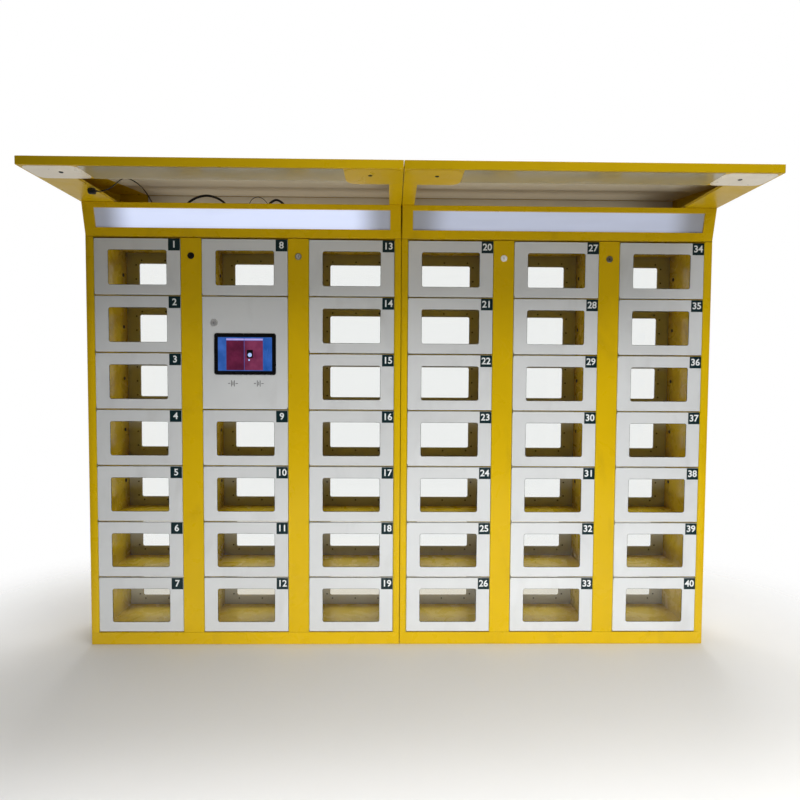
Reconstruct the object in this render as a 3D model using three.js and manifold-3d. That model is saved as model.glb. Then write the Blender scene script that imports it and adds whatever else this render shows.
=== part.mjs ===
// Phone charging kiosk: two steel cabinets side by side, forty small numbered doors with clear
// windows, a service door with a touchscreen, a lit header and a canopy that reaches forward.
// Units are millimetres. +Z is up, +X is to the right of a person facing the doors, and +Y goes
// into the cabinet. The origin is at floor level, in the middle of the overall footprint.
import * as THREE from "three";
import { mergeVertices } from "three/addons/utils/BufferGeometryUtils.js";
import Module from "manifold-3d";

// ---- driving dimensions ----
const SHEET = 1.5; // cabinet steel
const GAP = 0.3; // between pieces that touch
const ROWS = 7;
const COLUMNS = 3; // in each module
const ROW_PITCH = 225;
const CELL_WIDTH = 340;
const STILE_WIDTH = 81; // between two columns of doors
const OUTER_STILE = 30; // at the outer end of a module
const SEAM_STILE = 25; // at the seam between the modules
const MODULE_GAP = 2;
const PLINTH_HEIGHT = 50;
const PLINTH_FLANGE = 30;
const CABINET_DEPTH = 300;
const REAR_WINDOW_PLANE = 290; // behind the door plane
const CANOPY_REACH = 426; // ahead of the door plane
const SHELF = 2;

const DOOR_SIDE_GAP = 2;
const DOOR_END_GAP = 3; // from a door's edge to the middle of the shelf
const DOOR_SHEET = 1;
const DOOR_DEPTH = 15;
const PANE = 1;
const PANE_LAP = 10;
const BOND = 0.3; // how far a bonded piece runs into the sheet that it is joined to
const WINDOW_SIDE = 53;
const WINDOW_TOP = 44;
const WINDOW_BOTTOM = 38;
const WINDOW_RADIUS = 8;
const CORNER_SEGMENTS = 2; // in each rounded corner
const BAR_SIDES = 16;

const SCREEN = { width: 244, height: 164, radius: 6, proud: 3, top: 144 };
const SCREEN_BODY = { width: 224, height: 144, depth: 24 };
const LOCK = { head: 26, barrel: 19, proud: 3, length: 22, below_top: 69 };
const SERVICE_LOCK = { head: 30, barrel: 19, proud: 3, length: 22, in: 46, below_top: 104 };
const CAM = { length: 30, width: 13, thick: 2 };
const LOCK_CLEARANCE = 0.5;

const LIGHT = { bottom: 1630, top: 1752.4, foot: 3, lean: 31, depth: 40, base_depth: 15 };
const LAMP_OPENING = { bottom: 32, height: 74, side: 42, lip: 8, lap: 6, thick: 3 };

const CANOPY = { bottom: 1753, fascia: 28, rise: 100, front: 128, outer: 128, seam: 48, rear: 15 };

// ---- derived places ----
const MODULE_WIDTH =
  OUTER_STILE + COLUMNS * CELL_WIDTH + (COLUMNS - 1) * STILE_WIDTH + SEAM_STILE;
const TOTAL_DEPTH = CANOPY_REACH + CABINET_DEPTH;
const FRONT_Y = -TOTAL_DEPTH / 2; // the canopy's fascia
const REAR_Y = TOTAL_DEPTH / 2;
const DOOR_Y = FRONT_Y + CANOPY_REACH; // the plane of the doors and stiles
const RACK_REAR_Y = DOOR_Y + REAR_WINDOW_PLANE - GAP;
const RACK_TOP = PLINTH_HEIGHT + ROWS * ROW_PITCH + SHELF / 2;
const DECK_Z = RACK_TOP + 2;
const DOOR_WIDTH = CELL_WIDTH - 2 * DOOR_SIDE_GAP;
const DOOR_HEIGHT = ROW_PITCH - 2 * DOOR_END_GAP;
const SERVICE_HEIGHT = 2 * ROW_PITCH - 2 * DOOR_END_GAP;
const SERVICE_ROW = 1; // the service door covers this row and the next, counted from the top at 0
const SERVICE_COLUMN = 1; // of the left module

const wasm = await Module();
wasm.setup();

// ---- materials ----
const paint = (color) => new THREE.MeshStandardMaterial({ color, roughness: 0.35, metalness: 0.2 });
const YELLOW = paint("#e0ae10");
const WHITE = paint("#d4d7d8");
const STEEL = new THREE.MeshStandardMaterial({ color: "#b9bcc0", roughness: 0.3, metalness: 0.9 });
const OPAL = new THREE.MeshStandardMaterial({ color: "#eef3ff", roughness: 0.4, metalness: 0 });
const BLACK = new THREE.MeshStandardMaterial({ color: "#0b0c0e", roughness: 0.25, metalness: 0 });
const CABLE = new THREE.MeshStandardMaterial({ color: "#161616", roughness: 0.6, metalness: 0 });

// ---- solids ----
function solid(geometry) {
  const bare = geometry.clone();
  bare.deleteAttribute("normal");
  bare.deleteAttribute("uv");
  const merged = mergeVertices(bare, 1e-4);
  return new wasm.Manifold(
    new wasm.Mesh({
      numProp: 3,
      vertProperties: new Float32Array(merged.attributes.position.array),
      triVerts: new Uint32Array(merged.index.array),
    }),
  );
}

function geometryOf(made) {
  const mesh = made.getMesh();
  const geometry = new THREE.BufferGeometry();
  geometry.setAttribute("position", new THREE.BufferAttribute(mesh.vertProperties, 3));
  geometry.setIndex(new THREE.BufferAttribute(mesh.triVerts, 1));
  return geometry;
}

// Moves each vertex to move(x, y, z), so that faces meant to share a plane share it exactly.
function remap(geometry, move) {
  const p = geometry.attributes.position;
  for (let i = 0; i < p.count; i++) p.setXYZ(i, ...move(p.getX(i), p.getY(i), p.getZ(i)));
  return geometry;
}

// A box between two opposite corners.
function block(low, high) {
  const pick = (v, k) => (v < 0 ? low[k] : high[k]);
  return solid(remap(new THREE.BoxGeometry(1, 1, 1), (...v) => v.map(pick)));
}

// An outline of (y, z) points, extruded along X from x0 to x1.
function alongX(points, x0, x1) {
  const outline = new THREE.Shape(points.map(([y, z]) => new THREE.Vector2(y, z)));
  const prism = new THREE.ExtrudeGeometry(outline, { depth: 1, bevelEnabled: false });
  return solid(remap(prism, (y, z, along) => [along < 0.5 ? x0 : x1, y, z]));
}

// A rectangle with round corners in the XZ plane, extruded along Y from y0 to y1.
function roundedPlate(x0, z0, width, height, radius, y0, y1) {
  const s = new THREE.Shape();
  s.moveTo(x0 + radius, z0);
  s.lineTo(x0 + width - radius, z0);
  s.absarc(x0 + width - radius, z0 + radius, radius, -Math.PI / 2, 0);
  s.lineTo(x0 + width, z0 + height - radius);
  s.absarc(x0 + width - radius, z0 + height - radius, radius, 0, Math.PI / 2);
  s.lineTo(x0 + radius, z0 + height);
  s.absarc(x0 + radius, z0 + height - radius, radius, Math.PI / 2, Math.PI);
  s.lineTo(x0, z0 + radius);
  s.absarc(x0 + radius, z0 + radius, radius, Math.PI, 1.5 * Math.PI);
  const options = { depth: 1, bevelEnabled: false, curveSegments: CORNER_SEGMENTS };
  const plate = new THREE.ExtrudeGeometry(s, options);
  return solid(remap(plate, (x, z, along) => [x, along < 0.5 ? y1 : y0, z]));
}

// A round bar along Y.
function barY(x, z, radius, y0, y1) {
  const bar = new THREE.CylinderGeometry(radius, radius, 1, BAR_SIDES);
  return solid(remap(bar, (px, along, pz) => [x + px, along < 0 ? y0 : y1, z + pz]));
}

const join = (parts) => parts.reduce((sum, part) => sum.add(part));
const cut = (body, parts) => parts.reduce((rest, part) => rest.subtract(part), body);

// ---- places in a module, from its outer end ----
const cellLeft = (column) => column * (CELL_WIDTH + STILE_WIDTH);
const shelfZ = (row) => PLINTH_HEIGHT + (ROWS - row) * ROW_PITCH; // the shelf over that row

// Each module says where its columns start and which side faces the seam.
const MODULES = [
  { side: "left", x0: -MODULE_GAP / 2 - MODULE_WIDTH, first: OUTER_STILE, seamAtRight: true },
  { side: "right", x0: MODULE_GAP / 2, first: SEAM_STILE, seamAtRight: false },
].map((m) => ({ ...m, x1: m.x0 + MODULE_WIDTH, cells: m.x0 + m.first }));

const isService = (module, column, row) =>
  module.side === "left" &&
  column === SERVICE_COLUMN &&
  (row === SERVICE_ROW || row === SERVICE_ROW + 1);

const windowZ = (row) => shelfZ(row + 1) + DOOR_END_GAP + WINDOW_BOTTOM;
const WINDOW_WIDTH = DOOR_WIDTH - 2 * WINDOW_SIDE;
const WINDOW_HEIGHT = DOOR_HEIGHT - WINDOW_TOP - WINDOW_BOTTOM;

// ---- cabinet shell: walls, stile faces, plinth, top deck and rear wall of the top bay ----
function cabinetShell({ x0, x1, seamAtRight }) {
  const top = CANOPY.bottom - GAP;
  const left = x0 + (seamAtRight ? OUTER_STILE : SEAM_STILE) - SHEET - GAP;
  const right = x1 - (seamAtRight ? SEAM_STILE : OUTER_STILE) + SHEET + GAP;
  const low = PLINTH_HEIGHT - SHELF / 2 - GAP;
  const inX = [x0 + SHEET, x1 - SHEET];
  const inY = [DOOR_Y + SHEET, REAR_Y - SHEET];
  const foot = PLINTH_FLANGE;
  return cut(block([x0, DOOR_Y, 0], [x1, REAR_Y, top]), [
    block([inX[0], inY[0], SHEET], [inX[1], inY[1], DECK_Z]),
    block([left, DOOR_Y - 1, low], [right, DOOR_Y + 2 * SHEET, DECK_Z]),
    block([inX[0], REAR_Y - 2 * SHEET, low], [inX[1], REAR_Y + 1, DECK_Z]),
    block([x0 + foot, DOOR_Y + foot, -1], [x1 - foot, REAR_Y - foot, 2 * SHEET]),
    block([inX[0], DOOR_Y - 1, DECK_Z + SHEET], [inX[1], inY[1], top + 1]),
  ]);
}

// ---- compartment rack: a shelved tube for each column, joined by the stile faces ----
function compartmentRack(module) {
  const bottom = PLINTH_HEIGHT - SHELF / 2;
  const end = module.cells + cellLeft(COLUMNS - 1) + CELL_WIDTH + SHEET;
  const whole = block([module.cells - SHEET, DOOR_Y, bottom], [end, RACK_REAR_Y, RACK_TOP]);
  const voids = [];
  for (let column = 0; column < COLUMNS; column++) {
    const x = module.cells + cellLeft(column);
    const right = x + CELL_WIDTH;
    for (let row = 0; row < ROWS; row++) {
      const service = isService(module, column, row);
      if (service && row > SERVICE_ROW) continue;
      const floor = shelfZ(row + (service ? 2 : 1)) + SHELF / 2;
      const ceiling = shelfZ(row) - SHELF / 2;
      voids.push(block([x, DOOR_Y - 1, floor], [right, RACK_REAR_Y + 1, ceiling]));
    }
    if (column === COLUMNS - 1) continue;
    const channel = [right + SHEET, right + STILE_WIDTH - SHEET];
    voids.push(
      block([channel[0], DOOR_Y + SHEET, bottom - 1], [channel[1], RACK_REAR_Y + 1, RACK_TOP + 1]),
      barY(
        right + STILE_WIDTH / 2,
        columnLockZ(),
        LOCK.barrel / 2 + LOCK_CLEARANCE,
        DOOR_Y - 1,
        DOOR_Y + SHEET + 1,
      ),
    );
  }
  return cut(whole, voids);
}

// ---- rear panel, with a clear pane flush with its inner face in each window ----
function rearPanel(module) {
  const y = DOOR_Y + REAR_WINDOW_PLANE;
  const windows = [];
  for (let column = 0; column < COLUMNS; column++)
    for (let row = 0; row < ROWS; row++) {
      if (isService(module, column, row)) continue;
      const x = module.cells + cellLeft(column) + DOOR_SIDE_GAP + WINDOW_SIDE;
      const size = [WINDOW_WIDTH, WINDOW_HEIGHT, WINDOW_RADIUS];
      windows.push(roundedPlate(x, windowZ(row), ...size, y + PANE, y + SHEET + 1));
    }
  const edge = SHEET + GAP;
  const low = [module.x0 + edge, y, PLINTH_HEIGHT - SHELF / 2];
  return cut(block(low, [module.x1 - edge, y + SHEET, DECK_Z - GAP]), windows);
}

// ---- doors: shallow trays with their front in the plane y = 0 and a corner at x = z = 0 ----
function doorTray(height) {
  const outer = block([0, 0, 0], [DOOR_WIDTH, DOOR_DEPTH, height]);
  const inner = block(
    [DOOR_SHEET, DOOR_SHEET, DOOR_SHEET],
    [DOOR_WIDTH - DOOR_SHEET, DOOR_DEPTH + 1, height - DOOR_SHEET],
  );
  return outer.subtract(inner);
}

function compartmentDoor() {
  const size = [WINDOW_WIDTH, WINDOW_HEIGHT, WINDOW_RADIUS];
  const window = roundedPlate(WINDOW_SIDE, WINDOW_BOTTOM, ...size, -1, DOOR_SHEET + 1);
  const pane = block(
    [WINDOW_SIDE - PANE_LAP, DOOR_SHEET - BOND, WINDOW_BOTTOM - PANE_LAP],
    [
      WINDOW_SIDE + WINDOW_WIDTH + PANE_LAP,
      DOOR_SHEET + PANE,
      WINDOW_BOTTOM + WINDOW_HEIGHT + PANE_LAP,
    ],
  );
  return doorTray(DOOR_HEIGHT).subtract(window).add(pane);
}

const screenX = (width) => (DOOR_WIDTH - width) / 2;
const screenZ = (height) => SERVICE_HEIGHT - SCREEN.top - (SCREEN.height + height) / 2;

function serviceDoor() {
  const w = SCREEN_BODY.width + 2 * GAP;
  const h = SCREEN_BODY.height + 2 * GAP;
  const corner = [screenX(w), -1, screenZ(h)];
  const cutout = block(corner, [screenX(w) + w, DOOR_SHEET + 1, screenZ(h) + h]);
  const hole = SERVICE_LOCK.barrel / 2 + LOCK_CLEARANCE;
  const lockZ = SERVICE_HEIGHT - SERVICE_LOCK.below_top;
  return cut(doorTray(SERVICE_HEIGHT), [
    cutout,
    barY(SERVICE_LOCK.in, lockZ, hole, -1, DOOR_SHEET + 1),
  ]);
}

// Bezel in front of the door sheet, and the module's body through the cut-out.
function touchscreen() {
  const { width, height, radius, proud } = SCREEN;
  const body = SCREEN_BODY;
  const back = block(
    [screenX(body.width), -GAP - proud / 2, screenZ(body.height)],
    [screenX(body.width) + body.width, body.depth, screenZ(body.height) + body.height],
  );
  const front = [screenX(width), screenZ(height), width, height, radius];
  return roundedPlate(...front, -GAP - proud, -GAP).add(back);
}

// ---- cam lock: head, barrel and a cam that points to -X when locked; its axis is x = z = 0 ----
function camLock({ head, barrel, proud, length }) {
  const half = CAM.width / 2;
  const cam = block([-CAM.length, length, -half], [half, length + CAM.thick, half]);
  return join([
    barY(0, 0, head / 2, -GAP - proud, -GAP),
    barY(0, 0, barrel / 2, -GAP - proud / 2, length + CAM.thick / 2),
    cam,
  ]);
}

function columnLockZ() {
  return PLINTH_HEIGHT + ROWS * ROW_PITCH - LOCK.below_top;
}

// ---- light box: a channel that leans forward at the top, with a framed opening ----
const LEAN = Math.atan2(LIGHT.lean - LIGHT.foot, LIGHT.top - LIGHT.bottom);
const SLOPE = Math.hypot(LIGHT.lean - LIGHT.foot, LIGHT.top - LIGHT.bottom);

// A box in the leaning frame: y is the depth behind the face, z runs up the face from its foot.
function leaningBlock(low, high) {
  const box = new THREE.BoxGeometry(high[0] - low[0], high[1] - low[1], high[2] - low[2]);
  box.translate((low[0] + high[0]) / 2, (low[1] + high[1]) / 2, (low[2] + high[2]) / 2);
  return solid(box.rotateX(LEAN).translate(0, DOOR_Y - LIGHT.foot, LIGHT.bottom));
}

function lightBox({ x0, x1 }) {
  const a = x0 + SHEET + GAP;
  const b = x1 - SHEET - GAP;
  const t = SHEET;
  const foot = DOOR_Y - LIGHT.foot;
  const brow = DOOR_Y - LIGHT.lean;
  const back = brow + LIGHT.depth;
  const base = foot + LIGHT.base_depth;
  const outline = [[foot, LIGHT.bottom], [base, LIGHT.bottom], [back, LIGHT.top], [brow, LIGHT.top]];
  const skin = t / Math.cos(LEAN);
  const hollow = [
    [foot + skin, LIGHT.bottom + t],
    [back + LIGHT.depth, LIGHT.bottom + t],
    [back + LIGHT.depth, LIGHT.top - t],
    [brow + skin, LIGHT.top - t],
  ];
  const { bottom, height, side, lip } = LAMP_OPENING;
  const low = a + side;
  const high = b - side;
  const opening = leaningBlock([low, -lip, bottom], [high, 2 * lip, bottom + height]);
  const frame = leaningBlock([low - t, t / 3, bottom - t], [high + t, lip, bottom + height + t]);
  const channel = alongX(outline, a, b).subtract(alongX(hollow, a + t, b - t));
  return channel.add(frame).subtract(opening);
}

function lampDiffuser({ x0, x1 }) {
  const { bottom, height, side, lip, lap, thick } = LAMP_OPENING;
  const a = x0 + SHEET + GAP + side - lap;
  const b = x1 - SHEET - GAP - side + lap;
  return leaningBlock([a, lip + GAP, bottom - lap], [b, lip + GAP + thick, bottom + height + lap]);
}

// ---- canopy: fascia, sloping top, end walls, and a flange round the opening underneath ----
function canopy({ x0, x1, seamAtRight }) {
  const t = SHEET;
  const { bottom, fascia, rise } = CANOPY;
  const top = bottom + fascia;
  const outer = [[FRONT_Y, bottom], [REAR_Y, bottom], [REAR_Y, top + rise], [FRONT_Y, top]];
  const slope = rise / TOTAL_DEPTH;
  const roof = t * Math.hypot(1, slope);
  const inner = [
    [FRONT_Y + t, bottom + t],
    [REAR_Y - t, bottom + t],
    [REAR_Y - t, top + rise - slope * t - roof],
    [FRONT_Y + t, top + slope * t - roof],
  ];
  const left = seamAtRight ? CANOPY.outer : CANOPY.seam;
  const right = seamAtRight ? CANOPY.seam : CANOPY.outer;
  const opening = block(
    [x0 + left, FRONT_Y + CANOPY.front, bottom - 1],
    [x1 - right, REAR_Y - CANOPY.rear, bottom + t + 1],
  );
  const overCabinet = block(
    [x0 + CANOPY.rear, DOOR_Y, bottom - 1],
    [x1 - CANOPY.rear, REAR_Y - CANOPY.rear, bottom + t + 1],
  );
  return cut(alongX(outer, x0, x1), [alongX(inner, x0 + t, x1 - t), opening, overCabinet]);
}

// ---- wiring harness of the lamps: a cable with two arches over the rim, and a sensor lead ----
function tube(points, radius, sides, steps) {
  const curve = new THREE.CatmullRomCurve3(points.map((p) => new THREE.Vector3(...p)));
  const ring = [];
  for (let i = 0; i < sides; i++) {
    const turn = (2 * Math.PI * i) / sides;
    ring.push(new THREE.Vector2(radius * Math.cos(turn), radius * Math.sin(turn)));
  }
  const options = { steps, bevelEnabled: false, extrudePath: curve };
  return solid(new THREE.ExtrudeGeometry(new THREE.Shape(ring), options));
}

const LAMP_CABLE = { radius: 4.5, sides: 8, steps: 36 };
const LAMP_CABLE_ROUTE = [
  [-905, 92, 1722], [-880, 91, 1731], [-858, 90, 1752], [-838, 90, 1774], [-806, 90, 1791],
  [-771, 90, 1797], [-736, 90, 1790], [-708, 90, 1774], [-688, 90, 1752], [-664, 91, 1733],
  [-632, 92, 1727], [-590, 92, 1728], [-556, 91, 1738], [-533, 90, 1758], [-516, 90, 1775],
  [-497, 90, 1783], [-478, 90, 1775], [-461, 90, 1758], [-440, 91, 1738], [-410, 92, 1722],
];
const SENSOR_LEAD = { radius: 2, sides: 8, steps: 40 };
const SENSOR_LEAD_ROUTE = [
  [-1098, -137, 1741], [-1080, -136, 1741], [-1062, -130, 1748], [-1048, -114, 1764],
  [-1038, -92, 1788], [-1030, -68, 1808], [-1020, -40, 1817], [-1010, -8, 1816],
  [-1001, 24, 1808], [-994, 54, 1794], [-988, 78, 1774], [-980, 92, 1750],
  [-966, 96, 1730], [-940, 94, 1722], [-906, 92, 1722],
];
const JUNCTION = { length: 40, width: 22, height: 18 };
const SENSOR = { radius: 11, length: 24 };

function wiringHarness() {
  const cable = tube(LAMP_CABLE_ROUTE, LAMP_CABLE.radius, LAMP_CABLE.sides, LAMP_CABLE.steps);
  const lead = tube(SENSOR_LEAD_ROUTE, SENSOR_LEAD.radius, SENSOR_LEAD.sides, SENSOR_LEAD.steps);
  const ends = [LAMP_CABLE_ROUTE[0], LAMP_CABLE_ROUTE.at(-1)];
  const junctions = ends.map(([x, y, z]) =>
    block(
      [x - JUNCTION.length / 2, y - JUNCTION.width / 2, z - JUNCTION.height / 2],
      [x + JUNCTION.length / 2, y + JUNCTION.width / 2, z + JUNCTION.height / 2],
    ),
  );
  const [x, y, z] = SENSOR_LEAD_ROUTE[0];
  const puck = new THREE.CylinderGeometry(SENSOR.radius, SENSOR.radius, SENSOR.length, 16);
  const sensor = solid(puck.rotateZ(Math.PI / 2).translate(x - SENSOR.length / 2 + 2, y, z));
  return join([cable, lead, sensor, ...junctions]);
}

// ---- the kiosk ----
const kiosk = new THREE.Group();

function place(name, geometry, material, x = 0, y = 0, z = 0) {
  const mesh = new THREE.Mesh(geometry, material);
  mesh.name = name;
  mesh.position.set(x, y, z);
  kiosk.add(mesh);
}

for (const module of MODULES) {
  const { side } = module;
  place(`cabinet_${side}`, geometryOf(cabinetShell(module)), YELLOW);
  place(`compartments_${side}`, geometryOf(compartmentRack(module)), YELLOW);
  place(`rear_panel_${side}`, geometryOf(rearPanel(module)), YELLOW);
  place(`light_box_${side}`, geometryOf(lightBox(module)), YELLOW);
  place(`lamp_diffuser_${side}`, geometryOf(lampDiffuser(module)), OPAL);
  place(`canopy_${side}`, geometryOf(canopy(module)), YELLOW);
}

const doorGeometry = geometryOf(compartmentDoor());
const lockGeometry = geometryOf(camLock(LOCK));
let doorNumber = 1;
let lockNumber = 1;
for (const module of MODULES)
  for (let column = 0; column < COLUMNS; column++) {
    const cell = module.cells + cellLeft(column);
    for (let row = 0; row < ROWS; row++) {
      if (isService(module, column, row)) continue;
      const name = `door_${String(doorNumber).padStart(2, "0")}`;
      const z = shelfZ(row + 1) + DOOR_END_GAP;
      place(name, doorGeometry, WHITE, cell + DOOR_SIDE_GAP, DOOR_Y, z);
      doorNumber += 1;
    }
    if (column === COLUMNS - 1) continue;
    const x = cell + CELL_WIDTH + STILE_WIDTH / 2;
    place(`column_lock_${lockNumber}`, lockGeometry, STEEL, x, DOOR_Y, columnLockZ());
    lockNumber += 1;
  }

const serviceX = MODULES[0].cells + cellLeft(SERVICE_COLUMN) + DOOR_SIDE_GAP;
const serviceZ = shelfZ(SERVICE_ROW + 2) + DOOR_END_GAP;
const serviceLockZ = serviceZ + SERVICE_HEIGHT - SERVICE_LOCK.below_top;
place("service_door", geometryOf(serviceDoor()), WHITE, serviceX, DOOR_Y, serviceZ);
place("touchscreen", geometryOf(touchscreen()), BLACK, serviceX, DOOR_Y, serviceZ);
const serviceLock = geometryOf(camLock(SERVICE_LOCK));
place("service_lock", serviceLock, STEEL, serviceX + SERVICE_LOCK.in, DOOR_Y, serviceLockZ);
place("wiring_harness", geometryOf(wiringHarness()), CABLE);

export default kiosk;
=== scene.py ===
"""Looks of the phone charging kiosk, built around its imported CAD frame.

Lengths are millimetres until piece() turns them into metres. +X is to the right of a person facing
the doors, +Y goes into the cabinet and +Z is up. A door's own shapes have their origin at the
door's lower left front corner, where its hinge line runs.
"""

import math

import bmesh
import bpy
from mathutils import Matrix, Vector

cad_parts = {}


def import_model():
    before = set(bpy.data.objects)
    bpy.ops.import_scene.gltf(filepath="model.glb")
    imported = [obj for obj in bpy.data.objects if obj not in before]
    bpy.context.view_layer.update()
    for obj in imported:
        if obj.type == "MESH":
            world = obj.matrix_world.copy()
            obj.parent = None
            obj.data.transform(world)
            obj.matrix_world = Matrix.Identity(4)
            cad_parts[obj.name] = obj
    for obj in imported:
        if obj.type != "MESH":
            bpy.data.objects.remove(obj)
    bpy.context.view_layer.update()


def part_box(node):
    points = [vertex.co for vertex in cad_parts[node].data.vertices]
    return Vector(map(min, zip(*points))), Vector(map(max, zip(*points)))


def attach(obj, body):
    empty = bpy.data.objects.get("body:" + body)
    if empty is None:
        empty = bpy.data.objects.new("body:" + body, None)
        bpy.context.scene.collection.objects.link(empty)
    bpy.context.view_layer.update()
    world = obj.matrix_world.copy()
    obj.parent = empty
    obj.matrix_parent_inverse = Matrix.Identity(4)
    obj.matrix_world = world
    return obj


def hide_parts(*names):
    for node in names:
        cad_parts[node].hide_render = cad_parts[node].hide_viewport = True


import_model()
MM = 0.001


def low(node):
    return [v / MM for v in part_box(node)[0]]


def high(node):
    return [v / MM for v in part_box(node)[1]]


# ---- camera ----
CAMERA = {"at": (-0.0392, -2.2614, 1.0893), "yaw": 0.91, "pitch": -2.39, "roll": 0.33, "lens": 26.22}


def make_camera():
    yaw, pitch, roll = (math.radians(CAMERA[k]) for k in ("yaw", "pitch", "roll"))
    ahead = Vector((math.sin(yaw) * math.cos(pitch), math.cos(yaw) * math.cos(pitch), math.sin(pitch)))
    right = Vector((math.cos(yaw), -math.sin(yaw), 0))
    up = right.cross(ahead)
    x = right * math.cos(roll) + up * math.sin(roll)
    y = up * math.cos(roll) - right * math.sin(roll)
    camera = bpy.data.objects.new("camera", bpy.data.cameras.new("camera"))
    camera.matrix_world = Matrix.Translation(CAMERA["at"]) @ Matrix((x, y, -ahead)).transposed().to_4x4()
    camera.data.lens = CAMERA["lens"]
    bpy.context.scene.collection.objects.link(camera)
    bpy.context.scene.camera = camera


make_camera()

# ---- dimensions, in millimetres, and places taken from the frame ----
SHEET = 1.5
GAP = 0.3
ROWS = 7
ROW_PITCH = 225
CELL_WIDTH = 340
STILE_WIDTH = 81
PLINTH = 50
SHELF = 2
DOOR_GAP = 2  # between a door's edge and the wall beside it
DOOR_END_GAP = 3  # between a door's edge and the middle of the shelf
TOP_DOORS = (1, 8, 13, 20, 27, 34)  # the first door of each column
DOORS = 40
END_COLUMNS = (2, 5)  # the last column of each module, with no stile after it
SERVICE_COLUMN = 1
SERVICE_ROWS = (1, 2)
WINDOW = (53, 38, 283, 175)  # left, bottom, right and top, in a door's own frame
WINDOW_RADIUS = 8
PANE_LAP = 9  # how far a pane reaches past its opening
DOOR_SIZE = (336, 219)
SERVICE_SIZE = (336, 444)
DOOR_DEPTH = 15
LOCK_DROP = 69  # from the top shelf to the axis of a column's lock
SHARP_ANGLE = 31  # degrees; edges folded further than this stay sharp

DOOR_Y = round(low("door_01")[1])
FRONT_Y = low("canopy_left")[1]
REAR_Y = high("canopy_left")[1]
RACK_REAR = high("compartments_left")[1]
RACK_TOP = round(high("compartments_left")[2]) + 2
DECK_Z = RACK_TOP
SHELL_TOP = high("cabinet_left")[2]
CANOPY_Z = low("canopy_left")[2]
CELLS = [low(f"door_{n:02d}")[0] - DOOR_GAP for n in TOP_DOORS]
MODULES = {side: (low(f"cabinet_{side}")[0], high(f"cabinet_{side}")[0]) for side in ("left", "right")}


def shelf_z(row):
    """The middle of the shelf over a row, with row 0 at the top."""
    return PLINTH + (ROWS - row) * ROW_PITCH


def is_service(column, row):
    return column == SERVICE_COLUMN and row in SERVICE_ROWS


def is_left(column):
    return column < len(CELLS) // 2


def cells_of(side):
    """The left ends of the cells of one module."""
    return [x for k, x in enumerate(CELLS) if is_left(k) == (side == "left")]


def flipped(profile, side):
    return [(radius, side * along) for radius, along in profile]


def grown(rect, reach):
    return (rect[0] - reach, rect[1] - reach, rect[2] + reach, rect[3] + reach)


# ---- shapes: closed surfaces lofted through loops of points ----
LIE = {
    "xz": lambda a, b, c: (a, c, b),
    "xy": lambda a, b, c: (a, b, c),
    "yz": lambda a, b, c: (c, a, b),
}


def outline(plane, rect, depth, radius=0.5, steps=2, grow=0.0):
    """A rectangle with round corners, as a loop of points in one of the three planes."""
    a0, b0, a1, b1 = grown(rect, grow)
    radius = max(radius + min(grow, 0) * 0.5, 0.05)
    corners = ((a1, b0, -1, 1), (a1, b1, -1, -1), (a0, b1, 1, -1), (a0, b0, 1, 1))
    points = []
    for k, (a, b, sa, sb) in enumerate(corners):
        for step in range(steps + 1):
            turn = math.radians(90 * (k - 1 + step / steps))
            at = (a + radius * (sa + math.cos(turn)), b + radius * (sb + math.sin(turn)))
            points.append(LIE[plane](*at, depth))
    return points


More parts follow.
